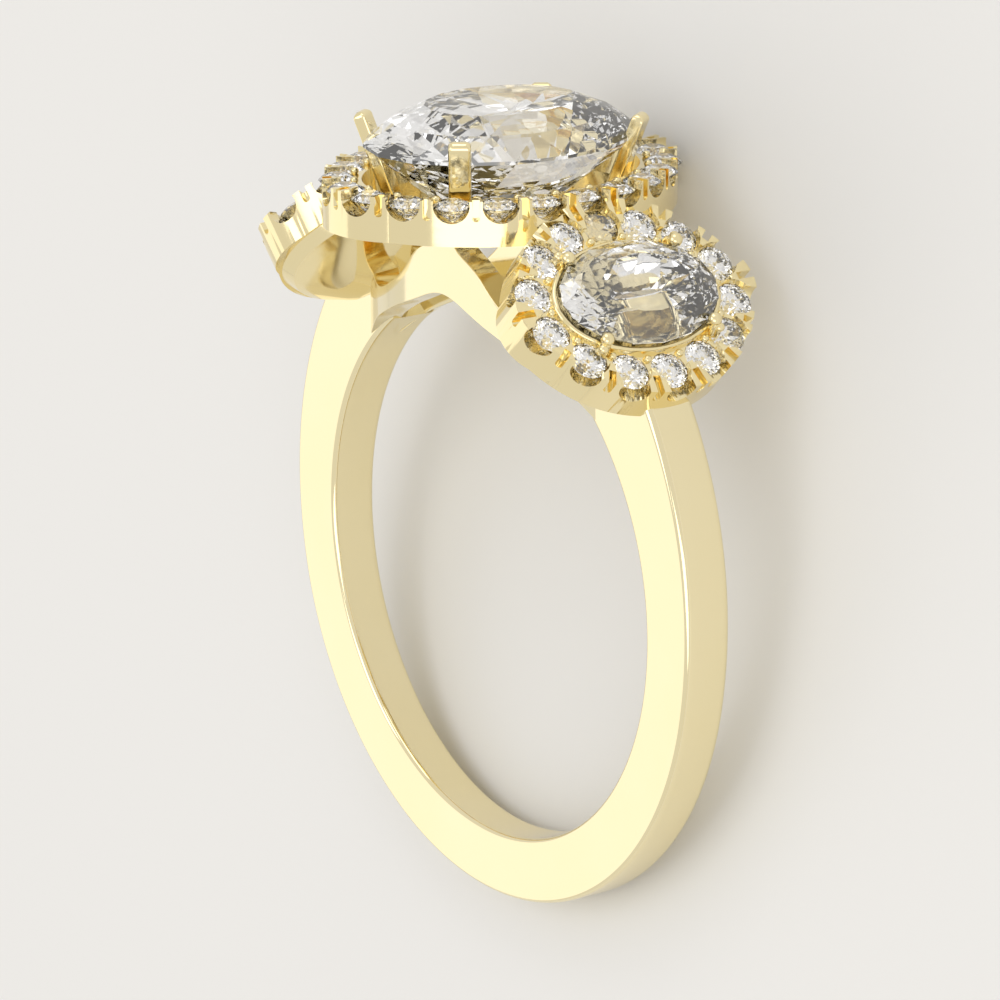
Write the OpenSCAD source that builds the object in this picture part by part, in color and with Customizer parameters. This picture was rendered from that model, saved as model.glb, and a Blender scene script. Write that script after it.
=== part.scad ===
/* [Band] */
// Radius of the finger bore
bore_r = 8.65; // [8.2:0.05:9.1]
// Thickness of the band below its middle
band_t = 2.08; // [1.8:0.02:2.4]
// Width of the band along the finger
band_w = 1.6; // [1.4:0.05:2]
// Bevel of the inner edges of the band
bore_bevel = 0.26; // [0.1:0.01:0.35]
// Bevel of the outer edges of the band
rim_bevel = 0.22; // [0.1:0.01:0.3]
// How far the circle that thickens the shoulders is raised
shoulder_rise = 1.0; // [0.6:0.05:1.3]
// Growth of that circle over the band's own outline
shoulder_grow = 0.08; // [0.02:0.01:0.2]
// Angle from the top at which the band ends and the gallery begins
shoulder_angle = 41; // [36:1:42]

/* [Gallery] */
// Half width of the gallery along the finger, under the middle
gallery_y = 2.25; // [2.05:0.05:2.5]
// How far outside the bore the gallery's ends stand, at the ends of the band
gallery_end = 0.95; // [0.6:0.05:1.3]
// Thickness of its front and rear plates
plate_t = 0.85; // [0.6:0.05:1.1]
// Clearance of the gallery's lower edge over the bore, in the middle
gallery_lift = 0.5; // [0.3:0.05:0.7]
// Distance from the gallery's end to the centre of each side opening
window_in = 1.6; // [1.4:0.05:1.8]
// Radius of each side opening
window_r = 2.0; // [1.7:0.05:2.1]
// Height of metal left under each side opening
window_sill = 0.6; // [0.4:0.05:0.9]
// Half width of the middle pillar at its top
pillar_x = 1.0; // [0.7:0.05:1.3]

/* [Centre halo] */
// Half width of the centre halo across the finger
halo_x = 4.9; // [4.85:0.05:5.1]
// Half length of the centre halo along the finger
halo_y = 6.1; // [6:0.05:6.3]
// Radius of the small lobe at each end of the centre halo
halo_lobe_r = 2.6; // [2.4:0.05:2.8]
// Distance of the creases between lobes from the long axis
halo_crease_x = 1.8; // [1.6:0.05:2]
// Height of the underside of the centre halo over the bore
halo_lift = 3.0; // [2.85:0.05:3.35]
// Height of the centre halo's wall, to the tips between its stones
halo_h = 1.4; // [1.3:0.05:1.6]
// Thickness of the floor in the centre halo
floor_t = 0.35; // [0.25:0.05:0.4]

/* [Side halos] */
// Half width of a side halo along the shoulder
side_u = 3.4; // [3.35:0.05:3.6]
// Half length of a side halo along the finger
side_y = 4.3; // [4.25:0.05:4.5]
// Radius of the small lobe at each end of a side halo
side_lobe_r = 1.5; // [1.4:0.05:1.7]
// Distance of a side halo's creases from its long axis
side_crease_u = 1.1; // [1:0.05:1.2]
// Height of a side halo's wall below the girdles of its stones
side_wall = 0.85; // [0.75:0.05:1]
// Angle from the top, round the bore's axis, to a side halo's centre
side_turn = 34.3; // [34:0.1:35]
// Height of a side halo's centre over the bore
side_lift = 3.7; // [3.6:0.05:3.8]
// Slope of a side halo away from the top
side_tilt = 45.6; // [43:0.2:48]
// Depth of the cup under a side halo
cup_h = 1.15; // [0.9:0.05:1.3]

/* [Stones] */
// Half width of the centre stone across the finger
centre_a = 3.55; // [3.45:0.05:3.6]
// Half length of the centre stone along the finger
centre_b = 4.55; // [4.45:0.05:4.6]
// Height of the centre stone's girdle over the underside of its halo
centre_lift = 2.3; // [2.25:0.05:2.45]
// Half width of a side stone
side_stone_a = 1.8; // [1.75:0.01:1.82]
// Half length of a side stone
side_stone_b = 2.8; // [2.75:0.01:2.82]
// Height of a side stone's girdle over those of its halo
side_stone_h = 0.42; // [0.4:0.02:0.5]
// Radius of a small halo stone
small_r = 0.6; // [0.55:0.01:0.6]
// Number of small stones in the centre halo
centre_count = 22; // [20:1:22]
// Number of small stones in each side halo
side_count = 14; // [12:1:14]
// Half width of the row of small stones in the centre halo
row_x = 4.25; // [4.2:0.05:4.3]
// Half length of the row of small stones in the centre halo
row_y = 5.35; // [5.3:0.05:5.4]
// Half width of the row of small stones in a side halo
side_row_u = 2.56; // [2.54:0.01:2.6]
// Half length of the row of small stones in a side halo
side_row_y = 3.49; // [3.46:0.01:3.55]

/* [Prongs] */
// Width of a centre prong
prong_w = 0.7; // [0.5:0.05:0.8]
// Thickness of a centre prong
prong_t = 0.42; // [0.35:0.01:0.5]
// Height of a centre prong's tip over the stone's girdle
prong_over = 0.5; // [0.4:0.02:0.6]
// Radius of the ball on a side prong
ball_r = 0.22; // [0.16:0.01:0.22]
// Radius of a side prong
post_r = 0.12; // [0.08:0.01:0.12]
// Clearance between a stone and the metal round it
seat_gap = 0.04; // [0.02:0.01:0.05]

/* [Hidden] */
gold = [0.93, 0.80, 0.47];
clear = [0.93, 0.95, 0.97];
eps = 0.1;
$fn = 96;
// Proportions of a round cut, as shares of the stone's half width
table_share = 0.56;
mid_share = 0.8;
lower_share = 0.3;
crown_share = 0.3;
pavilion_share = 0.86;
girdle_share = 0.03;
// The faces round a cut stone
FACETS = 8;
STEP_A = 360 / FACETS;

// Outer circles of the band: the plain one and the raised one at the shoulders
band_r = bore_r + band_t;
shoulder_r = band_r + shoulder_grow;

// Heights over the bore's axis, and the centres of the side halos
halo_z = bore_r + halo_lift;
centre_z = halo_z + centre_lift;
side_x = (bore_r + side_lift) * sin(side_turn);
side_z = (bore_r + side_lift) * cos(side_turn);

// Small stones sit with their girdles this far under the tips of the wall
tip_over = 0.25;
row_z = halo_z + halo_h - tip_over;

// Seat of a small stone, as shares of its radius: depth of the rest, room under it, scallop
rest_share = 0.38;
room_share = 0.7;
scallop_share = 0.88;
scallop_drop = 0.1;

// Metal left between a small stone and the opening inside its row
inner_rim = 0.3;

// Opening in the floor of the centre halo, as a share of the stone over it
floor_open_share = 0.4;

// Side halos: how far the wall stays under the tips, and how the cup narrows and leans in
side_top_drop = 0.05;
cup_rim = 0.4;
cup_shift = 0.8;
cup_foot = 0.85;

// Wells of a side stone: the ledge under its girdle, and the deeper share of it
side_ledge = 0.08;
deep_share = 0.55;
deep_room = 0.15;

// The prongs stand just outside the centre stone, a share of the way round it
prong_turn = 45;
prong_out = (prong_t / 2 + seat_gap) * 0.75;
prong_tip = [(centre_a + prong_out) * cos(prong_turn), (centre_b + prong_out) * sin(prong_turn)];
prong_lean = 21.5;
prong_face = 35;
prong_top_z = centre_z + prong_over;
prong_foot_z = halo_z + floor_t / 2;

// The side prongs stand between two stones of their row, a share of the way round the side stone
post_turn = 37;

// The gallery's plates are arcs in plan, from shoulder to shoulder
gallery_x = (bore_r + gallery_end) * sin(shoulder_angle);
window_x = gallery_x - window_in;
bow = gallery_y - band_w / 2;
plate_arc_r = (gallery_x * gallery_x + bow * bow) / (2 * bow);
window_z = sqrt(pow(bore_r + gallery_lift, 2) - pow(window_x, 2)) + window_sill + window_r;

// The ring lies on the rear edge of its band and the rear end of its centre halo
foot_half_w = band_w / 2;
foot_r = band_r - rim_bevel;
lie_a = atan((halo_y - foot_half_w) / (halo_z + foot_r));

// Points of an oval, and the same length of rim between each stone and the next
ARC_STEPS = 180;
function on_oval(a, b, t) = [a * cos(t), b * sin(t)];
function rim_step(a, b, i) = norm(on_oval(a, b, (i + 1) * 360 / ARC_STEPS)
    - on_oval(a, b, i * 360 / ARC_STEPS));
function rim_table(a, b, i = 0, s = 0, out = []) = i > ARC_STEPS ? out
    : rim_table(a, b, i + 1, s + rim_step(a, b, i), concat(out, [[s, i * 360 / ARC_STEPS]]));
function row_angles(a, b, n) = let (rim = rim_table(a, b), whole = rim[ARC_STEPS][0])
    [for (k = [0 : n - 1]) lookup(k * whole / n, rim)];
function oval_outline(a, b, n = 48) = [for (k = [0 : n - 1]) on_oval(a, b, k * 360 / n)];
function ring_points(r, z, turn, n) = [for (k = [0 : n - 1])
    [r * cos(k * 360 / n + turn), r * sin(k * 360 / n + turn), z]];
function scaled(points, a, b) = [for (p = points) [p[0] * a, p[1] * b, p[2]]];

// Lays the ring down, with the side that the finger enters at the top and the bore's centre at the origin
module lying() {
    rotate([lie_a - 90, 0, 0]) children();
}

// One cut stone, its girdle's upper edge at height 0, as wide as 2 a and 2 b
module cut_stone(a, b) {
    half = STEP_A / 2;
    crown = crown_share * a;
    girdle = girdle_share * a;
    deep = pavilion_share * a;
    mid_z = crown * (1 - (mid_share * cos(half) - table_share) / (1 - table_share));
    low_z = -girdle - deep * (1 - lower_share * cos(half));
    points = concat(
        ring_points(table_share, crown, 0, FACETS),
        ring_points(mid_share, mid_z, half, FACETS),
        ring_points(1, 0, 0, 2 * FACETS),
        ring_points(1, -girdle, 0, 2 * FACETS),
        ring_points(lower_share, low_z, half, FACETS),
        [[0, 0, -girdle - deep]]);
    mid = FACETS;
    top = 2 * FACETS;
    low = 4 * FACETS;
    pav = 6 * FACETS;
    culet = 7 * FACETS;
    last = FACETS - 1;
    rim = 2 * FACETS;
    faces = concat(
        [[for (k = [last : -1 : 0]) k]],
        [for (k = [0 : last]) [(k + 1) % FACETS, mid + k, k]],
        [for (k = [0 : last]) [mid + k, top + 2 * k, mid + (k + last) % FACETS, k]],
        [for (k = [0 : last]) [top + 2 * k + 1, top + 2 * k, mid + k]],
        [for (k = [0 : last]) [top + (2 * k + 2) % rim, top + 2 * k + 1, mid + k]],
        [for (k = [0 : rim - 1]) [top + k, top + (k + 1) % rim, low + (k + 1) % rim, low + k]],
        [for (k = [0 : last]) [low + 2 * k, low + 2 * k + 1, pav + k]],
        [for (k = [0 : last]) [low + 2 * k + 1, low + (2 * k + 2) % rim, pav + k]],
        [for (k = [0 : last]) [pav + k, culet, pav + (k + last) % FACETS, low + 2 * k]]);
    polyhedron(scaled(points, a, b), faces);
}

// Places children at each stone of a row, turned so that +X looks outward
module along_row(a, b, n) {
    for (t = row_angles(a, b, n))
        translate(on_oval(a, b, t)) rotate([0, 0, atan2(sin(t) / b, cos(t) / a)]) children();
}

// Places children at the four prongs
module at_four() {
    for (mx = [0, 1], my = [0, 1])
        mirror([mx, 0, 0]) mirror([0, my, 0]) children();
}

// Seat of one small stone: its rest, the room under it and the scallop in the wall
module small_seat() {
    deep = (pavilion_share + girdle_share) * small_r;
    rest = rest_share * small_r;
    translate([0, 0, -rest]) cylinder(r = small_r + seat_gap, h = rest + 2 * tip_over);
    translate([0, 0, -deep - seat_gap]) cylinder(r = room_share * small_r, h = deep);
    translate([0, 0, tip_over - scallop_drop]) rotate([0, 90, 0])
        cylinder(r = scallop_share * small_r, h = 2 * small_r);
}

// Outline of a halo: two long lobes and two small ones, with a crease where they meet
module lobed_outline(a, b, lobe, crease) {
    crease_y = b - lobe + sqrt(lobe * lobe - crease * crease);
    long_r = (pow(a - crease, 2) + pow(crease_y, 2)) / (2 * (a - crease));
    intersection() {
        translate([a - long_r, 0]) circle(r = long_r);
        translate([long_r - a, 0]) circle(r = long_r);
    }
    for (s = [-1, 1]) translate([0, s * (b - lobe)]) circle(r = lobe);
}

// A disc of the band with bevelled rims, its centre at the height z
module band_disc(r, z) {
    side = band_w / 2;
    translate([0, 0, z]) rotate([90, 0, 0]) rotate_extrude()
        polygon([[0, -side], [r - rim_bevel, -side], [r, rim_bevel - side],
            [r, side - rim_bevel], [r - rim_bevel, side], [0, side]]);
}

module band() {
    far = 3 * bore_r;
    mouth_r = bore_r + bore_bevel;
    difference() {
        union() {
            band_disc(band_r, 0);
            band_disc(shoulder_r, shoulder_rise);
        }
        rotate([90, 0, 0]) cylinder(r = bore_r, h = far, center = true);
        for (m = [0, 1]) mirror([0, m, 0]) translate([0, band_w / 2 + eps, 0]) rotate([90, 0, 0])
            cylinder(r1 = mouth_r + eps, r2 = bore_r - eps, h = bore_bevel + 2 * eps);
        rotate([90, 0, 0]) translate([0, 0, -far / 2]) linear_extrude(far)
            polygon([[0, 0], [far * sin(shoulder_angle), far * cos(shoulder_angle)],
                [-far * sin(shoulder_angle), far * cos(shoulder_angle)]]);
    }
}

// Room between the two plates of the gallery, and their outline in plan
module plan_lens(r) {
    intersection() {
        translate([0, plate_arc_r - gallery_y]) circle(r = r, $fn = 240);
        translate([0, gallery_y - plate_arc_r]) circle(r = r, $fn = 240);
    }
}

// Side view of the gallery, with its pillar and its two round openings
module gallery_side() {
    top = halo_z + floor_t / 2;
    spring = bore_r * cos(shoulder_angle);
    neck = halo_z - 1;
    difference() {
        polygon([[-gallery_x - 1, spring - 1.5], [gallery_x + 1, spring - 1.5],
            [gallery_x + 1, top], [-gallery_x - 1, top]]);
        translate([0, gallery_lift / 2]) circle(r = bore_r + gallery_lift / 2);
        for (m = [0, 1]) mirror([m, 0]) {
            translate([window_x, window_z]) circle(r = window_r);
            polygon([[pillar_x, top + 1], [pillar_x, neck], [window_x - window_r * 0.96, window_z - 0.2],
                [window_x + window_r, window_z], [gallery_x + 2, window_z], [gallery_x + 2, top + 1]]);
        }
    }
}

module gallery() {
    tall = halo_z + 2;
    intersection() {
        linear_extrude(tall) difference() {
            plan_lens(plate_arc_r);
            plan_lens(plate_arc_r - plate_t);
        }
        rotate([90, 0, 0]) translate([0, 0, -gallery_y - 1]) linear_extrude(2 * gallery_y + 2) gallery_side();
    }
}

module halo_body() {
    open_x = row_x - small_r - seat_gap - inner_rim;
    open_y = row_y - small_r - seat_gap - inner_rim;
    difference() {
        translate([0, 0, halo_z]) linear_extrude(halo_h)
            lobed_outline(halo_x, halo_y, halo_lobe_r, halo_crease_x);
        translate([0, 0, halo_z + floor_t]) linear_extrude(halo_h) polygon(oval_outline(open_x, open_y));
        translate([0, 0, halo_z - eps]) linear_extrude(halo_h) polygon(oval_outline(
            floor_open_share * centre_a + seat_gap, floor_open_share * centre_b + seat_gap));
    }
}

// A centre prong: a flat bar that leans out, with a rounded tip
module centre_prong() {
    run = (prong_top_z - prong_foot_z) / cos(prong_lean);
    translate([prong_tip[0], prong_tip[1], prong_top_z]) rotate([0, prong_lean, prong_face])
        translate([0, 0, -run]) {
            translate([-prong_t / 2, -prong_w / 2, 0]) cube([prong_t, prong_w, run]);
            translate([0, 0, run]) rotate([90, 0, 0]) cylinder(r = prong_t / 2, h = prong_w, center = true);
        }
}

// Places children in the plane of the right side halo, +X down the shoulder
module on_shoulder() {
    translate([side_x, 0, side_z]) rotate([0, side_tilt, 0]) children();
}

module side_body() {
    translate([0, 0, -side_wall]) linear_extrude(side_wall + tip_over - side_top_drop)
        lobed_outline(side_u, side_y, side_lobe_r, side_crease_u);
    hull() {
        translate([0, 0, -side_wall]) linear_extrude(eps)
            polygon(oval_outline(side_u - cup_rim, side_y - cup_rim, 32));
        translate([cup_shift, 0, -side_wall - cup_h]) linear_extrude(eps)
            polygon(oval_outline(side_u / 2 - cup_rim, side_y / 2 - cup_foot, 32));
    }
}

// Prongs of a side stone: thin posts with a ball on each
module side_prongs() {
    out = post_r + seat_gap;
    post_at = [(side_stone_a + out) * cos(post_turn), (side_stone_b + out) * sin(post_turn)];
    ball_h = side_stone_h + ball_r + seat_gap / 2;
    at_four() translate(post_at) {
        translate([0, 0, -side_wall / 2]) cylinder(r = post_r, h = ball_h + side_wall / 2, $fn = 32);
        translate([0, 0, ball_h]) sphere(r = ball_r, $fn = 32);
    }
}

// Room for a side stone inside its halo and cup
module side_well() {
    deep = (pavilion_share + girdle_share) * side_stone_a;
    translate([0, 0, -side_wall]) linear_extrude(2 * side_wall)
        polygon(oval_outline(side_stone_a - side_ledge, side_stone_b - side_ledge));
    translate([0, 0, side_stone_h - deep - deep_room]) linear_extrude(deep)
        polygon(oval_outline(deep_share * side_stone_a, deep_share * side_stone_b));
}

module ring_mount() {
    color(gold) lying() difference() {
        union() {
            band();
            gallery();
            halo_body();
            at_four() centre_prong();
            for (m = [0, 1]) mirror([m, 0, 0]) on_shoulder() {
                side_body();
                side_prongs();
            }
        }
        translate([0, 0, centre_z]) cut_stone(centre_a + seat_gap, centre_b + seat_gap);
        translate([0, 0, row_z]) along_row(row_x, row_y, centre_count) small_seat();
        for (m = [0, 1]) mirror([m, 0, 0]) on_shoulder() {
            side_well();
            along_row(side_row_u, side_row_y, side_count) small_seat();
        }
    }
}

module centre_stone() {
    color(clear) lying() translate([0, 0, centre_z]) cut_stone(centre_a, centre_b);
}

module side_stone() {
    on_shoulder() translate([0, 0, side_stone_h]) cut_stone(side_stone_a, side_stone_b);
}

module side_row() {
    on_shoulder() along_row(side_row_u, side_row_y, side_count) cut_stone(small_r, small_r);
}

module side_stone_right() {
    color(clear) lying() side_stone();
}

module side_stone_left() {
    color(clear) lying() mirror([1, 0, 0]) side_stone();
}

module centre_halo_stones() {
    color(clear) lying() translate([0, 0, row_z]) along_row(row_x, row_y, centre_count)
        cut_stone(small_r, small_r);
}

module right_halo_stones() {
    color(clear) lying() side_row();
}

module left_halo_stones() {
    color(clear) lying() mirror([1, 0, 0]) side_row();
}

ring_mount();
centre_stone();
side_stone_left();
side_stone_right();
centre_halo_stones();
left_halo_stones();
right_halo_stones();
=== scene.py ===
import math

import bpy
from mathutils import Matrix, Vector


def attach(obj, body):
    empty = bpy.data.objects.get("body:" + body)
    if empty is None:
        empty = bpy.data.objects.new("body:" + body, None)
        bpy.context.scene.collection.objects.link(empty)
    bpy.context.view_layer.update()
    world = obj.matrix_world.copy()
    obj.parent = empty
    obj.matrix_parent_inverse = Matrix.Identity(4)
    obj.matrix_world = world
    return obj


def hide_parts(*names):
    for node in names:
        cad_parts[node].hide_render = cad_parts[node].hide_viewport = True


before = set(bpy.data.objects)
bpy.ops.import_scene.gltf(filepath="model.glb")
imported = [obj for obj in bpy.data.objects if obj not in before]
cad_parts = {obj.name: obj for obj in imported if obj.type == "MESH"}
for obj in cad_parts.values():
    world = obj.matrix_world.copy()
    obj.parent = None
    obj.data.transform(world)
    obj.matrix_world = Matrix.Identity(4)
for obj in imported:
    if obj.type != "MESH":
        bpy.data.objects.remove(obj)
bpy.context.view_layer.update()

# Sizes of the ring in millimetres, with the finger along Y and the head at the top

# Band: radius of the bore, thickness and width at the foot, and what the shoulders add to them
BORE_R = 8.65
BAND_T, BAND_W = 2.08, 1.45
BAND_GROWTH, BAND_FLARE = 0.85, 0.16
BAND_CORNER = 0.24
BAND_END = 55
BAND_STEPS = 184

# Centre halo: half its width and length, its small end lobes, its floor and wall, its row of stones
HALO_X, HALO_Y = 4.9, 6.1
HALO_LOBE, HALO_CREASE = 2.6, 1.8
HALO_Z, HALO_H = 11.65, 1.4
ROW_Z = 12.8
ROW_X, ROW_Y, ROW_COUNT = 4.25, 5.35, 22

# Side halos, each measured from the girdle of its own row of stones
SIDE_U, SIDE_Y = 3.4, 4.3
SIDE_LOBE, SIDE_CREASE = 1.5, 1.1
SIDE_TOP, SIDE_FOOT = 0.25, -1.15
SIDE_ROW_U, SIDE_ROW_Y, SIDE_COUNT = 2.56, 3.49, 14
SIDE_R, SIDE_TURN, SIDE_TILT = BORE_R + 3.7, math.radians(34.3), math.radians(45.6)

# Stones: radius of the small ones, half the width and length of the large ones, and their girdles
SMALL_R = 0.6
CENTRE_A, CENTRE_B, CENTRE_Z = 3.55, 4.55, 13.95
SIDE_A, SIDE_B, SIDE_H = 1.8, 2.8, 0.42

# Gallery plates: how far out they stand in the middle and at the ends, and their thickness
GALLERY_Y, GALLERY_X, GALLERY_END_Y = 2.25, 6.3, 0.8
PLATE_T = 0.85

# How the ring lies: on the rear edge of its band and the rear end of its centre halo
REST_Y, REST_IN = 0.8, 0.22
REST_R = BORE_R + BAND_T - REST_IN
LIE = math.atan((HALO_Y - REST_Y) / (HALO_Z + REST_R))
FLOOR_Z = -(REST_Y * math.cos(LIE) + REST_R * math.sin(LIE)) / 1000
LAID = Matrix.Rotation(LIE - math.pi / 2, 4, "X") @ Matrix.Scale(0.001, 4)

# Places of the right and the left side halo, and the mirrors that the centre prongs need
SHOULDER = (Matrix.Translation((SIDE_R * math.sin(SIDE_TURN), 0, SIDE_R * math.cos(SIDE_TURN)))
            @ Matrix.Rotation(SIDE_TILT, 4, "Y"))
HANDS = (("right", SHOULDER), ("left", Matrix.Rotation(math.pi, 4, "Z") @ SHOULDER))
MIRROR_X = Matrix.Scale(-1, 4, (1, 0, 0))
MIRROR_Y = Matrix.Scale(-1, 4, (0, 1, 0))


# Camera and light

def make_camera():
    bpy.ops.object.camera_add(
        location=(0.13117, 0.02844, 0.09975),
        rotation=[math.radians(a) for a in (5.4706, 53.2722, 18.1693)])
    camera = bpy.context.object
    camera.data.lens = 190.86
    camera.data.sensor_width = 36
    camera.data.clip_start = 0.01
    camera.data.clip_end = 10
    bpy.context.scene.camera = camera


def make_softbox(name, place, size, bright, aim=(0, 0.006, 0)):
    bpy.ops.object.light_add(type="AREA", location=place)
    lamp = bpy.context.object
    lamp.name = name
    lamp.rotation_euler = (Vector(aim) - Vector(place)).to_track_quat("-Z", "Y").to_euler()
    lamp.data.shape = "RECTANGLE"
    lamp.data.size, lamp.data.size_y = size
    lamp.data.energy = math.pi * size[0] * size[1] * bright


def make_studio():
    bpy.ops.mesh.primitive_plane_add(size=1.6, location=(0, 0, FLOOR_Z))
    floor = bpy.context.object
    floor.name = "floor"
    paper = bpy.data.materials.new("pale_paper")
    paper.use_nodes = True
    shader = paper.node_tree.nodes["Principled BSDF"]
    shader.inputs["Base Color"].default_value = (0.80, 0.79, 0.77, 1)
    shader.inputs["Roughness"].default_value = 0.7
    floor.data.materials.append(paper)
    make_softbox("overhead", (0.02, 0.05, 0.34), (0.20, 0.20), 1.3)
    make_softbox("key", (0.28, -0.08, 0.20), (0.20, 0.24), 1.15)
    make_softbox("far", (-0.26, -0.13, 0.17), (0.26, 0.24), 0.40)
    make_softbox("side", (0.02, 0.34, 0.16), (0.24, 0.20), 1.0)
    world = bpy.data.worlds.new("room")
    bpy.context.scene.world = world
    world.use_nodes = True
    world.node_tree.nodes["Background"].inputs["Color"].default_value = (1.0, 0.985, 0.96, 1)
    world.node_tree.nodes["Background"].inputs["Strength"].default_value = 0.80
    bpy.context.scene.view_settings.view_transform = "Standard"
    cycles = bpy.context.scene.cycles
    cycles.max_bounces = 24
    cycles.transmission_bounces = 20
    cycles.glossy_bounces = 8
    cycles.transparent_max_bounces = 16


# Materials

def make_polish():
    """What polished metal shows: faint cloudy colour, hairline marks and a little unevenness"""
    group = bpy.data.node_groups.new("polish", "ShaderNodeTree")
    face = group.interface
    face.new_socket("Light", in_out="INPUT", socket_type="NodeSocketColor")
    face.new_socket("Deep", in_out="INPUT", socket_type="NodeSocketColor")
    face.new_socket("Smooth", in_out="INPUT", socket_type="NodeSocketFloat")
    face.new_socket("Hazy", in_out="INPUT", socket_type="NodeSocketFloat")
    face.new_socket("Color", in_out="OUTPUT", socket_type="NodeSocketColor")
    face.new_socket("Roughness", in_out="OUTPUT", socket_type="NodeSocketFloat")
    face.new_socket("Height", in_out="OUTPUT", socket_type="NodeSocketFloat")
    nodes, links = group.nodes, group.links
    into = nodes.new("NodeGroupInput")
    out = nodes.new("NodeGroupOutput")
    where = nodes.new("ShaderNodeTexCoord")
    cloud = nodes.new("ShaderNodeTexNoise")
    cloud.inputs["Scale"].default_value = 260
    cloud.inputs["Detail"].default_value = 3
    tint = nodes.new("ShaderNodeMix")
    tint.data_type = "RGBA"
    stretch = nodes.new("ShaderNodeMapping")
    stretch.inputs["Scale"].default_value = (900, 6000, 900)
    hair = nodes.new("ShaderNodeTexNoise")
    hair.inputs["Scale"].default_value = 1
    hair.inputs["Detail"].default_value = 5
    haze = nodes.new("ShaderNodeMix")
    links.new(where.outputs["Object"], cloud.inputs["Vector"])
    links.new(where.outputs["Object"], stretch.inputs["Vector"])
    links.new(stretch.outputs["Vector"], hair.inputs["Vector"])
    links.new(cloud.outputs["Fac"], tint.inputs["Factor"])
    links.new(into.outputs["Light"], tint.inputs["A"])
    links.new(into.outputs["Deep"], tint.inputs["B"])
    links.new(hair.outputs["Fac"], haze.inputs["Factor"])
    links.new(into.outputs["Smooth"], haze.inputs["A"])
    links.new(into.outputs["Hazy"], haze.inputs["B"])
    links.new(tint.outputs["Result"], out.inputs["Color"])
    links.new(haze.outputs["Result"], out.inputs["Roughness"])
    links.new(hair.outputs["Fac"], out.inputs["Height"])
    return group


def make_gold(name, light, deep, smooth, hazy, marks):
    gold = bpy.data.materials.new(name)
    gold.use_nodes = True
    nodes, links = gold.node_tree.nodes, gold.node_tree.links
    shader = nodes["Principled BSDF"]
    shader.inputs["Metallic"].default_value = 1
    polish = nodes.new("ShaderNodeGroup")
    polish.node_tree = POLISH
    polish.inputs["Light"].default_value = (*light, 1)
    polish.inputs["Deep"].default_value = (*deep, 1)
    polish.inputs["Smooth"].default_value = smooth
    polish.inputs["Hazy"].default_value = hazy
    bump = nodes.new("ShaderNodeBump")
    bump.inputs["Strength"].default_value = marks
    bump.inputs["Distance"].default_value = 0.000004
    links.new(polish.outputs["Color"], shader.inputs["Base Color"])
    links.new(polish.outputs["Roughness"], shader.inputs["Roughness"])
    links.new(polish.outputs["Height"], bump.inputs["Height"])
    links.new(bump.outputs["Normal"], shader.inputs["Normal"])
    return gold


def make_stone(name, low, high, grain):
    """A colourless stone: clear, very bright, with the faintest clouding from place to place"""
    stone = bpy.data.materials.new(name)
    stone.use_nodes = True
    nodes, links = stone.node_tree.nodes, stone.node_tree.links
    shader = nodes["Principled BSDF"]
    shader.inputs["Transmission Weight"].default_value = 1
    shader.inputs["IOR"].default_value = 2.42
    where = nodes.new("ShaderNodeTexCoord")
    cloud = nodes.new("ShaderNodeTexNoise")
    cloud.inputs["Scale"].default_value = grain
    cloud.inputs["Detail"].default_value = 2
    tint = nodes.new("ShaderNodeMix")
    tint.data_type = "RGBA"
    tint.inputs["A"].default_value = (*low, 1)
    tint.inputs["B"].default_value = (*high, 1)
    gloss = nodes.new("ShaderNodeMapRange")
    gloss.inputs["To Min"].default_value = 0.0
    gloss.inputs["To Max"].default_value = 0.012
    links.new(where.outputs["Object"], cloud.inputs["Vector"])
    links.new(cloud.outputs["Fac"], tint.inputs["Factor"])
    links.new(cloud.outputs["Fac"], gloss.inputs["Value"])
    links.new(tint.outputs["Result"], shader.inputs["Base Color"])
    links.new(gloss.outputs["Result"], shader.inputs["Roughness"])
    return stone


# Hand tools

def only(*things):
    """Selects these pieces alone, and makes the first one active"""
    bpy.ops.object.select_all(action="DESELECT")
    for thing in things:
        thing.select_set(True)
    bpy.context.view_layer.objects.active = things[0]


def settle(thing, by=Matrix.Identity(4)):
    """Turns and moves a piece, and puts its place into its mesh"""
    only(thing)
    thing.matrix_world = by @ thing.matrix_world
    bpy.ops.object.transform_apply(location=True, rotation=True, scale=True)
    return thing


def outward(thing, weld=True):
    """Turns every face of a piece outward, and welds corners that lie together"""
    only(thing)
    bpy.ops.object.mode_set(mode="EDIT")
    bpy.ops.mesh.select_all(action="SELECT")
    if weld:
        bpy.ops.mesh.remove_doubles(threshold=0.0005)
    bpy.ops.mesh.normals_make_consistent(inside=False)
    bpy.ops.object.mode_set(mode="OBJECT")
    return thing


def joined(things):
    """Makes one piece of several, without cutting them"""
    only(*things)
    if len(things) > 1:
        bpy.ops.object.join()
    return bpy.context.object


def copy_of(thing, by):
    only(thing)
    bpy.ops.object.duplicate()
    return settle(bpy.context.object, by)


def finish_with(thing, kind, **values):
    """Puts one modifier on a piece, sets its values and applies it"""
    only(thing)
    step = thing.modifiers.new(kind.lower(), kind)
    for key, value in values.items():
        setattr(step, key, value)
    bpy.ops.object.modifier_apply(modifier=step.name)
    return thing


def combine(thing, tool, how):
    finish_with(thing, "BOOLEAN", object=tool, operation=how, solver="EXACT")
    bpy.data.objects.remove(tool)
    return thing


def soften(thing, width, steps=2, angle=35, smooth=40):
    """Breaks the sharp edges, then shades what is rounder than that smooth"""
    if width:
        finish_with(thing, "BEVEL", width=width, segments=steps, limit_method="ANGLE",
                    angle_limit=math.radians(angle), use_clamp_overlap=True)
    only(thing)
    bpy.ops.object.shade_smooth_by_angle(angle=math.radians(smooth))
    if smooth > 30:
        finish_with(thing, "WEIGHTED_NORMAL", keep_sharp=True, weight=60)
    return thing


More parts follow.
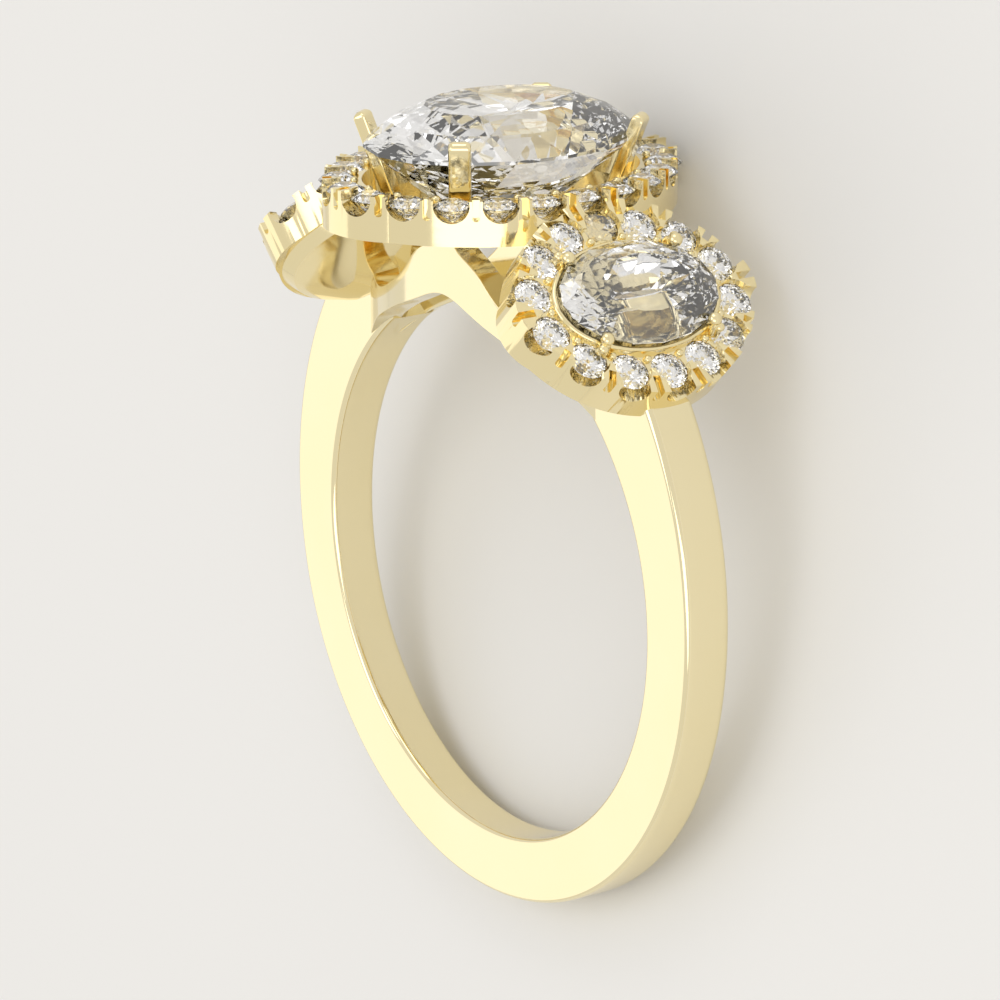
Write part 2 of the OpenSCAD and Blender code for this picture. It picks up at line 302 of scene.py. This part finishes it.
def deliver(thing, name, finish, stands_for="ring_mount"):
    """Lays a finished piece down in its place on the ring"""
    settle(thing, LAID)
    thing.name = name
    thing.data.name = name
    thing.data.materials.clear()
    thing.data.materials.append(finish)
    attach(thing, "root")
    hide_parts(stands_for)


def round_bar(r, low, high, across=(1, 1), at=(0, 0), top=1, sides=96):
    """A round or oval bar on end, narrower or wider at its top"""
    bpy.ops.mesh.primitive_cone_add(
        vertices=sides, radius1=r, radius2=r * top, depth=high - low,
        location=(at[0], at[1], (low + high) / 2), scale=(across[0], across[1], 1))
    return settle(bpy.context.object)


def bead_at(r, place):
    bpy.ops.mesh.primitive_uv_sphere_add(
        segments=24, ring_count=14, radius=r, location=place, scale=(1, 1, 0.85))
    bead = settle(bpy.context.object)
    only(bead)
    bpy.ops.object.shade_smooth()
    return bead


def pick(thing, kind, wanted):
    """Selects the faces or edges of a piece whose middles are where they are wanted"""
    only(thing)
    bpy.ops.object.mode_set(mode="EDIT")
    bpy.ops.mesh.select_mode(type=kind)
    bpy.ops.mesh.select_all(action="DESELECT")
    bpy.ops.object.mode_set(mode="OBJECT")
    corners = thing.data.vertices
    if kind == "FACE":
        for p in thing.data.polygons:
            p.select = wanted(p.center)
    else:
        for e in thing.data.edges:
            e.select = wanted((corners[e.vertices[0]].co + corners[e.vertices[1]].co) / 2)


def oval_places(a, b, count):
    """Places round an oval, the same length of rim apart, each turned to face outward"""
    marks = [math.radians(2 * k) for k in range(181)]
    rim = [0.0]
    for s, e in zip(marks, marks[1:]):
        chord = math.hypot(a * (math.cos(e) - math.cos(s)), b * (math.sin(e) - math.sin(s)))
        rim.append(rim[-1] + chord)
    places = []
    for k in range(2 * count):
        want = k * rim[-1] / (2 * count)
        i = max(j for j in range(180) if rim[j] <= want + 1e-9)
        t = marks[i] + (want - rim[i]) / (rim[i + 1] - rim[i]) * (marks[1] - marks[0])
        spot = Matrix.Translation((a * math.cos(t), b * math.sin(t), 0))
        places.append(spot @ Matrix.Rotation(math.atan2(math.sin(t) / b, math.cos(t) / a), 4, "Z"))
    return places[0::2], places[1::2]


def all_round(tool, places, height=0):
    """One copy of a tool at each place"""
    copies = [copy_of(tool, Matrix.Translation((0, 0, height)) @ p) for p in places]
    bpy.data.objects.remove(tool)
    return joined(copies)


# Band

def near_side(angle):
    """The angle that stands as high on the first side of the ring, once past its foot"""
    return angle if angle > -90 else -180 - angle


def band_thickness(angle):
    rise = max(0.0, (near_side(angle) + 10) / 55)
    return BAND_T + BAND_GROWTH * rise ** 1.7


def band_width(angle):
    return BAND_W + BAND_FLARE * ((near_side(angle) + 90) / 90) ** 1.2


def make_band(gold):
    """The section is drawn at one shoulder, then pulled round the finger and grown or thinned"""
    thick, wide = band_thickness(BAND_END), band_width(BAND_END)
    centre = (0, 0, 0)
    bpy.ops.mesh.primitive_plane_add(size=1, rotation=(math.pi / 2, 0, 0))
    band = bpy.context.object
    bpy.ops.object.transform_apply(location=False, rotation=True, scale=False)
    bpy.ops.object.mode_set(mode="EDIT")
    bpy.ops.mesh.select_all(action="SELECT")
    bpy.ops.transform.rotate(value=math.pi / 2, orient_axis="X", center_override=centre)
    bpy.ops.transform.resize(value=(thick, wide, 1), center_override=centre)
    bpy.ops.transform.translate(value=(BORE_R + thick / 2, 0, 0))
    bpy.ops.mesh.bevel(offset=BAND_CORNER, segments=4, affect="VERTICES", profile=0.5)
    bpy.ops.transform.rotate(value=math.radians(BAND_END), orient_axis="Y", center_override=centre)
    total = 180 + 2 * BAND_END
    step = total / BAND_STEPS
    for k in range(1, BAND_STEPS + 1):
        now = BAND_END - k * total / BAND_STEPS
        was = now + step
        bpy.ops.mesh.extrude_region_move()
        bpy.ops.transform.rotate(value=-math.radians(step), orient_axis="Y", center_override=centre)
        inner = (BORE_R * math.cos(math.radians(now)), 0, BORE_R * math.sin(math.radians(now)))
        thicker = band_thickness(now) / band_thickness(was)
        wider = band_width(now) / band_width(was)
        bpy.ops.transform.resize(value=(thicker, wider, thicker), center_override=inner)
    bpy.ops.object.mode_set(mode="OBJECT")
    outward(band)
    soften(band, 0)
    deliver(band, "band", gold)


# Gallery

# The plates bow outward; then their upper edge as corners (across, up), and where the lower one's are
PLATE_BOW = GALLERY_Y - GALLERY_END_Y
PLATE_R = (GALLERY_X ** 2 + PLATE_BOW ** 2) / (2 * PLATE_BOW)
PLATE_TOP = [(0, 11.8), (0.3, 11.8), (0.38, 11.3), (0.6, 10.8),
             (1.05, 10.55), (1.5, 10.35), (1.9, 10.05), (2.3, 9.6),
             (2.9, 9.12), (3.4, 8.87), (3.9, 8.62), (4.4, 8.4),
             (4.92, 8.26), (5.4, 8.32), (5.9, 8.65), (6.6, 9.3)]
PLATE_FOOT_X = [0, 0.3, 0.6, 0.9, 1.2, 1.55, 1.95, 2.35,
                2.85, 3.3, 3.8, 4.3, 4.85, 5.3, 5.8, 6.5]


def plate_foot(x):
    """Height of a plate's lower edge, which follows the finger and rises to a soft peak in the middle"""
    peak = 0.5 * math.exp(-(x / 1.5) ** 2)
    shoulder = 0.24 * min(1, max(0, (x - 4) / 1.5))
    return math.sqrt((BORE_R + 0.04) ** 2 - x ** 2) + peak + shoulder


def plate_y(x):
    """How far out a plate stands, along the finger"""
    return math.sqrt(PLATE_R ** 2 - x ** 2) - (PLATE_R - GALLERY_Y)


def make_gallery_plate(name, side, gold):
    """A curved plate that carries the head from shoulder to shoulder, cut away over each side"""
    half, tall = len(PLATE_TOP) - 1, 6
    bpy.ops.mesh.primitive_grid_add(x_subdivisions=2 * half, y_subdivisions=tall, size=2)
    plate = bpy.context.object
    for v in plate.data.vertices:
        k = round((v.co.x + 1) * half) - half
        hand = -1 if k < 0 else 1
        up = (v.co.y + 1) / 2
        top = Vector(PLATE_TOP[abs(k)])
        foot_x = PLATE_FOOT_X[abs(k)]
        foot = Vector((foot_x, plate_foot(foot_x)))
        p = foot.lerp(top, up)
        v.co = (hand * p.x, side * plate_y(p.x), p.y)
    finish_with(plate, "SUBSURF", levels=1, render_levels=1)
    outward(plate)
    finish_with(plate, "SOLIDIFY", thickness=PLATE_T, offset=-1 if plate_faces(plate, side) else 1)
    outward(plate)
    soften(plate, 0.14, 3)
    deliver(plate, name, gold)


def plate_faces(plate, side):
    """Whether the sheet's faces look away from the middle of the gallery"""
    return sum(p.normal.y * p.area for p in plate.data.polygons) * side > 0


# Centre halo

def halo_lobes(a, b, lobe, crease):
    """Middle and radius of each lobe in a halo's outline: two long ones, then the small end ones"""
    crease_y = b - lobe + math.sqrt(lobe ** 2 - crease ** 2)
    long_r = ((a - crease) ** 2 + crease_y ** 2) / (2 * (a - crease))
    return [((a - long_r, 0), long_r), ((long_r - a, 0), long_r),
            ((0, lobe - b), lobe), ((0, b - lobe), lobe)]


def lobed_block(lobes, low, high):
    """A block in the outline of a halo"""
    first, second, *ends = lobes
    block = round_bar(first[1], low, high, at=first[0], sides=320)
    tool = round_bar(second[1], low - 1, high + 1, at=second[0], sides=320)
    combine(block, tool, "INTERSECT")
    for middle, r in ends:
        combine(block, round_bar(r, low, high, at=middle, sides=160), "UNION")
    return block


def true_walls(block, lobes):
    """Gives a halo's outer wall the exact normals of its lobes, so that it reflects without ripples"""
    mesh = block.data
    normals = [Vector(n.vector) for n in mesh.corner_normals]
    for p in mesh.polygons:
        if abs(p.normal.z) > 0.03:
            continue
        for (x, y), r in lobes:
            away = Vector((p.center.x - x, p.center.y - y, 0))
            if abs(away.length - r) < 0.012 and away.normalized().dot(p.normal) > 0.995:
                for k in p.loop_indices:
                    spot = mesh.vertices[mesh.loops[k].vertex_index].co
                    normals[k] = Vector((spot.x - x, spot.y - y, 0)).normalized()
                break
    mesh.normals_split_custom_set(normals)


def cut_seats(block, a, b, count, girdle, scallop, scallop_low, slot_low):
    """Cuts the scallops, the slots that split the posts, and the seats of a row of small stones"""
    at_stone, between = oval_places(a, b, count)
    out = Matrix.Rotation(math.pi / 2, 4, "Y")
    tool = settle(round_bar(scallop, 0.1, 3), out)
    tool = all_round(tool, at_stone, scallop_low + scallop)
    combine(block, tool, "DIFFERENCE")
    tool = slot_cutter(0.24, SMALL_R * 0.42, 3)
    tool = all_round(tool, between, slot_low)
    combine(block, tool, "DIFFERENCE")
    tool = seat_cutter()
    tool = all_round(tool, at_stone, girdle)
    combine(block, tool, "DIFFERENCE")


def slot_cutter(width, start, end):
    """A flat blade with a round lower edge, standing on height 0"""
    bpy.ops.mesh.primitive_cube_add(
        size=1, location=((start + end) / 2, 0, 1), scale=(end - start, width, 2))
    blade = settle(bpy.context.object)
    pick(blade, "EDGE", lambda c: c.z < 0.01 and abs(c.y) > width / 4)
    bpy.ops.object.mode_set(mode="EDIT")
    bpy.ops.mesh.bevel(offset=width * 0.46, segments=5, affect="EDGES")
    bpy.ops.object.mode_set(mode="OBJECT")
    return blade


def seat_cutter():
    """A drill that leaves a straight seat for the girdle and a cone under it"""
    drill = round_bar(SMALL_R + 0.012, -0.12, 1, sides=40)
    pick(drill, "FACE", lambda c: c.z < -0.1)
    bpy.ops.object.mode_set(mode="EDIT")
    bpy.ops.mesh.extrude_region_move(TRANSFORM_OT_translate={"value": (0, 0, -0.36)})
    bpy.ops.transform.resize(value=(0.4, 0.4, 1))
    bpy.ops.object.mode_set(mode="OBJECT")
    return drill


def make_centre_halo(gold):
    """A tray with a floor that the large stone's foot passes, and a step inside its row of stones"""
    top = HALO_Z + HALO_H
    lobes = halo_lobes(HALO_X, HALO_Y, HALO_LOBE, HALO_CREASE)
    halo = lobed_block(lobes, HALO_Z, top)
    tray = round_bar(1, HALO_Z + 0.35, top + 1, across=(3.32, 4.42), top=1.12)
    opening = round_bar(1, HALO_Z - 1, HALO_Z + 1, across=(1.9, 2.5))
    step = round_bar(1, ROW_Z + 0.02, top + 1, across=(ROW_X - 0.02, ROW_Y - 0.02))
    for tool in (tray, opening, step):
        combine(halo, tool, "DIFFERENCE")
    cut_seats(halo, ROW_X, ROW_Y, ROW_COUNT, girdle=ROW_Z, scallop=0.56, scallop_low=12.36,
              slot_low=top - 0.62)
    halo = joined([halo, inner_beads(ROW_X - 0.46, ROW_Y - 0.46, ROW_COUNT, ROW_Z + 0.04)])
    soften(halo, 0.03, 2, smooth=22)
    true_walls(halo, lobes)
    deliver(halo, "centre_halo", gold)


def inner_beads(a, b, count, height):
    """Small grains of metal between the stones of a row, on the side of the large stone"""
    grain = bead_at(0.13, (0, 0, 0.06))
    return all_round(grain, oval_places(a, b, count)[1], height)


# Centre prongs

def make_centre_prongs(gold):
    """Flat bars that lean out from the halo to the edge of the stone, with rounded tips"""
    low, high = HALO_Z + 0.15, CENTRE_Z + 0.5
    lean, face = math.radians(21.5), math.radians(35)
    run = (high - low) / math.cos(lean)
    bpy.ops.mesh.primitive_cube_add(
        size=1, location=(0, 0, -run / 2 + 0.1), scale=(0.42, 0.7, run + 0.2))
    bar = settle(bpy.context.object)
    pick(bar, "FACE", lambda c: c.z > 0.1)
    bpy.ops.object.mode_set(mode="EDIT")
    bpy.ops.mesh.bevel(offset=0.2, segments=6, affect="EDGES")
    bpy.ops.object.mode_set(mode="OBJECT")
    soften(bar, 0.13, 2, 50)
    out = 0.19
    turn = math.radians(45)
    tip = ((CENTRE_A + out) * math.cos(turn), (CENTRE_B + out) * math.sin(turn), high)
    settle(bar, Matrix.Translation(tip) @ Matrix.Rotation(face, 4, "Z") @ Matrix.Rotation(lean, 4, "Y"))
    bars = [bar, copy_of(bar, MIRROR_X), copy_of(bar, MIRROR_Y), copy_of(bar, MIRROR_X @ MIRROR_Y)]
    for k, one in enumerate(bars):
        outward(one)
        soften(one, 0)
        deliver(one, f"centre_prong_{k + 1}", gold)


# Side halos

def make_side_halo():
    lobes = halo_lobes(SIDE_U, SIDE_Y, SIDE_LOBE, SIDE_CREASE)
    halo = lobed_block(lobes, SIDE_FOOT, SIDE_TOP)
    combine(halo, side_stone_room(), "DIFFERENCE")
    step = round_bar(1, 0.02, SIDE_TOP + 1, across=(SIDE_ROW_U - 0.02, SIDE_ROW_Y - 0.02))
    combine(halo, step, "DIFFERENCE")
    cut_seats(halo, SIDE_ROW_U, SIDE_ROW_Y, SIDE_COUNT, girdle=0, scallop=0.48, scallop_low=-0.40,
              slot_low=SIDE_TOP - 0.5)
    halo = joined([halo, inner_beads(SIDE_ROW_U - 0.44, SIDE_ROW_Y - 0.44, SIDE_COUNT, 0.0)])
    soften(halo, 0.035, 2, smooth=22)
    true_walls(halo, lobes)
    return halo


def side_stone_room():
    """The room that a side stone needs, wide at its girdle and narrow at its foot"""
    return round_bar(0.35, -1.5, 0.35, across=(SIDE_A - 0.06, SIDE_B - 0.06), top=1 / 0.35)


def make_side_rim():
    """The thin bright rim round a side stone: a round wire pressed oval, its lower half drawn down"""
    round_r = 2.4
    bpy.ops.mesh.primitive_torus_add(
        major_radius=round_r, minor_radius=0.1, major_segments=128, minor_segments=16)
    rim = settle(bpy.context.object)
    settle(rim, Matrix.Diagonal(((SIDE_A + 0.06) / round_r, (SIDE_B + 0.06) / round_r, 1, 1)))
    pick(rim, "FACE", lambda c: c.z < -0.03)
    bpy.ops.object.mode_set(mode="EDIT")
    bpy.ops.transform.translate(value=(0, 0, -0.35))
    bpy.ops.object.mode_set(mode="OBJECT")
    settle(rim, Matrix.Translation((0, 0, 0.16)))
    soften(rim, 0)
    return rim


def make_side_claws():
    """At each corner of a side stone a bead on its edge, a smaller one behind, and a wedge below"""
    claws = []
    for s, t in ((1, 1), (1, -1), (-1, 1), (-1, -1)):
        bead = bead_at(0.22, (1.43, 1.98, 0.56))
        behind = bead_at(0.16, (1.64, 2.14, 0.38))
        bpy.ops.mesh.primitive_cone_add(vertices=32, radius1=0.24, radius2=0.14, depth=0.5)
        lean = Matrix.Rotation(math.radians(42), 4, "Z") @ Matrix.Rotation(math.radians(-14), 4, "Y")
        wedge = settle(bpy.context.object, Matrix.Translation((1.56, 2.04, 0.27)) @ lean)
        soften(wedge, 0.05, 2)
        claw = joined([bead, behind, wedge])
        settle(claw, Matrix.Diagonal((s, t, 1, 1)))
        claws.append(claw)
    return outward(joined(claws), weld=False)


# Steps down the cup: how far, how much narrower, and how far over to the shoulder
CUP_STEPS = ((0.06, 0.99, 0), (0.36, 0.93, 0.04), (0.04, 0.97, 0.02), (0.14, 0.90, 0.10),
             (0.16, 0.86, 0.14), (0.16, 0.80, 0.18), (0.12, 0.68, 0.16), (0.05, 0.5, 0.06))


def make_side_cup():
    """The cup that closes a side halo below: an upright tier, then a bowl that leans to the shoulder"""
    bpy.ops.mesh.primitive_circle_add(vertices=96, radius=1, fill_type="NGON", location=(0, 0, -1.1))
    cup = settle(bpy.context.object)
    settle(cup, Matrix.Diagonal((3.12, 4.0, 1, 1)))
    bpy.ops.object.mode_set(mode="EDIT")
    bpy.ops.mesh.select_all(action="SELECT")
    for down, narrow, over in CUP_STEPS:
        bpy.ops.mesh.extrude_region_move(TRANSFORM_OT_translate={"value": (over, 0, -down)})
        bpy.ops.transform.resize(value=(narrow, narrow, 1))
    bpy.ops.object.mode_set(mode="OBJECT")
    outward(cup)
    combine(cup, side_stone_room(), "DIFFERENCE")
    soften(cup, 0.03, 2, 50, smooth=30)
    return cup


# Large stones

STONE_CORNERS = 16
GIRDLE_T = 0.03

# Rings of corners above and below the girdle: height, width, and whether turned half a step
CROWN_RINGS = ((0.178, 0.80, True), (0.300, 0.56, False))
PAVILION_RINGS = ((-0.372, 0.62, True), (-0.686, 0.26, False), (-0.890, 0.05, True))


def make_large_stone(name, a, b, keel, by, finish):
    """A long oval stone: cut as a round one, pressed oval, and drawn out below into a short keel"""
    half_step = math.pi / STONE_CORNERS
    bpy.ops.mesh.primitive_cylinder_add(
        vertices=STONE_CORNERS, radius=1, depth=GIRDLE_T, location=(0, 0, -GIRDLE_T / 2))
    stone = settle(bpy.context.object)
    for start, rings in ((0, CROWN_RINGS), (-GIRDLE_T, PAVILION_RINGS)):
        pick(stone, "FACE", lambda c: abs(c.z - start) < 0.001 and math.hypot(c.x, c.y) < 0.1)
        bpy.ops.object.mode_set(mode="EDIT")
        height, width, turned = start, 1, False
        for ring_height, ring_width, ring_turned in rings:
            bpy.ops.mesh.extrude_region_move(
                TRANSFORM_OT_translate={"value": (0, 0, ring_height - height)})
            bpy.ops.transform.resize(value=(ring_width / width, ring_width / width, 1))
            if ring_turned != turned:
                bpy.ops.transform.rotate(value=half_step if ring_turned else -half_step,
                                         orient_axis="Z", center_override=(0, 0, 0))
            height, width, turned = ring_height, ring_width, ring_turned
        bpy.ops.object.mode_set(mode="OBJECT")
    only(stone)
    bpy.ops.object.mode_set(mode="EDIT")
    bpy.ops.mesh.select_all(action="SELECT")
    bpy.ops.mesh.quads_convert_to_tris(quad_method="SHORTEST_DIAGONAL")
    bpy.ops.mesh.normals_make_consistent(inside=False)
    bpy.ops.object.mode_set(mode="OBJECT")
    for v in stone.data.vertices:
        wide = math.hypot(v.co.x, v.co.y)
        drawn = keel * (1 - wide) * v.co.y / wide if v.co.z < -GIRDLE_T else 0
        v.co = (a * v.co.x, b * v.co.y + drawn, a * v.co.z)
    settle(stone, by)
    deliver(stone, f"{name}_cut", finish, name)


# The ring

make_camera()
make_studio()
POLISH = make_polish()
BAND_GOLD = make_gold("band_gold", light=(0.93, 0.83, 0.55), deep=(0.91, 0.80, 0.49),
                      smooth=0.05, hazy=0.11, marks=0.12)
# The setting is the same gold as the band, drawn a little deeper and more amber all over: its own colour
# with painted shade for the darker creases of the setting.
SETTING_GOLD_PAINTED_SHADE = make_gold("setting_gold_painted_shade", light=(0.93, 0.81, 0.50), deep=(0.90, 0.77, 0.43),
                         smooth=0.06, hazy=0.14, marks=0.2)
LARGE_STONE = make_stone("large_clear_stone", low=(0.96, 0.965, 0.975), high=(1, 1, 1), grain=150)
SMALL_STONE = make_stone("small_clear_stone", low=(0.94, 0.945, 0.96), high=(1, 1, 1), grain=500)

make_band(BAND_GOLD)
make_gallery_plate("gallery_front", -1, BAND_GOLD)
make_gallery_plate("gallery_back", 1, BAND_GOLD)
make_centre_halo(SETTING_GOLD_PAINTED_SHADE)
make_centre_prongs(SETTING_GOLD_PAINTED_SHADE)
SIDE_PARTS = (("halo", make_side_halo), ("rim", make_side_rim),
              ("claws", make_side_claws), ("cup", make_side_cup))
for word, hand in HANDS:
    for part, make in SIDE_PARTS:
        deliver(settle(make(), hand), f"{word}_side_{part}", SETTING_GOLD_PAINTED_SHADE)

make_large_stone("centre_stone", CENTRE_A, CENTRE_B, keel=0.5,
                 by=Matrix.Translation((0, 0, CENTRE_Z)), finish=LARGE_STONE)
for word, hand in HANDS:
    make_large_stone(f"side_stone_{word}", SIDE_A, SIDE_B, keel=0.8,
                     by=hand @ Matrix.Translation((0, 0, SIDE_H)), finish=LARGE_STONE)
for node in ("centre_halo_stones", "left_halo_stones", "right_halo_stones"):
    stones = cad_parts[node]
    stones.data.materials.clear()
    stones.data.materials.append(SMALL_STONE)
